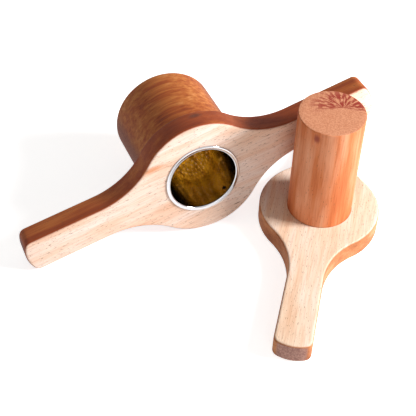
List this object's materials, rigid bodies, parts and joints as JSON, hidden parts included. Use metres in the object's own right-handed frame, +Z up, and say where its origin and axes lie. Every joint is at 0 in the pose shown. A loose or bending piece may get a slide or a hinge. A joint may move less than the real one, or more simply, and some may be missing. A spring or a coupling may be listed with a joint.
{
  "type": "noodle press",
  "caption": "Wooden hand press: a handled barrel with a steel sleeve and perforated brass die, and a handled plunger with a turned piston.",
  "frame": {"origin": "middle of the box that holds both halves, on the surface they stand on", "axes": "+X along the level line of the barrel's handles towards the plunger, +Y from the mouth towards the drum, +Z up"},
  "size_m": [0.3276, 0.2584, 0.1155],
  "materials": {
    "barrel_wood": "oiled",
    "plunger_wood": "sanded",
    "dowel_wood": "plain",
    "sleeve_steel": "polished",
    "fastener_steel": "plain",
    "die_brass": "polished"
  },
  "bodies": {
    "barrel": {"barrel_board": "barrel_wood", "drum": "barrel_wood", "drum_dowel_1": "dowel_wood", "drum_dowel_2": "dowel_wood", "drum_dowel_3": "dowel_wood", "drum_dowel_4": "dowel_wood", "sleeve": "sleeve_steel", "sleeve_nail": "fastener_steel", "die": "die_brass"},
    "plunger": {"plunger_board": "plunger_wood", "piston": "plunger_wood", "piston_screw_1": "fastener_steel", "piston_screw_2": "fastener_steel", "piston_screw_3": "fastener_steel", "screw_plug_1": "dowel_wood", "screw_plug_2": "dowel_wood", "screw_plug_3": "dowel_wood"}
  },
  "joints": [
    {"name": "plunger_to_mouth", "type": "hinge", "parent": "barrel", "child": "plunger", "pos_m": [0.03721, -0.04061, 0.06739], "axis": [0.3602, -0.6978, -0.6191], "range_deg": [0, 215.4]}
  ]
}
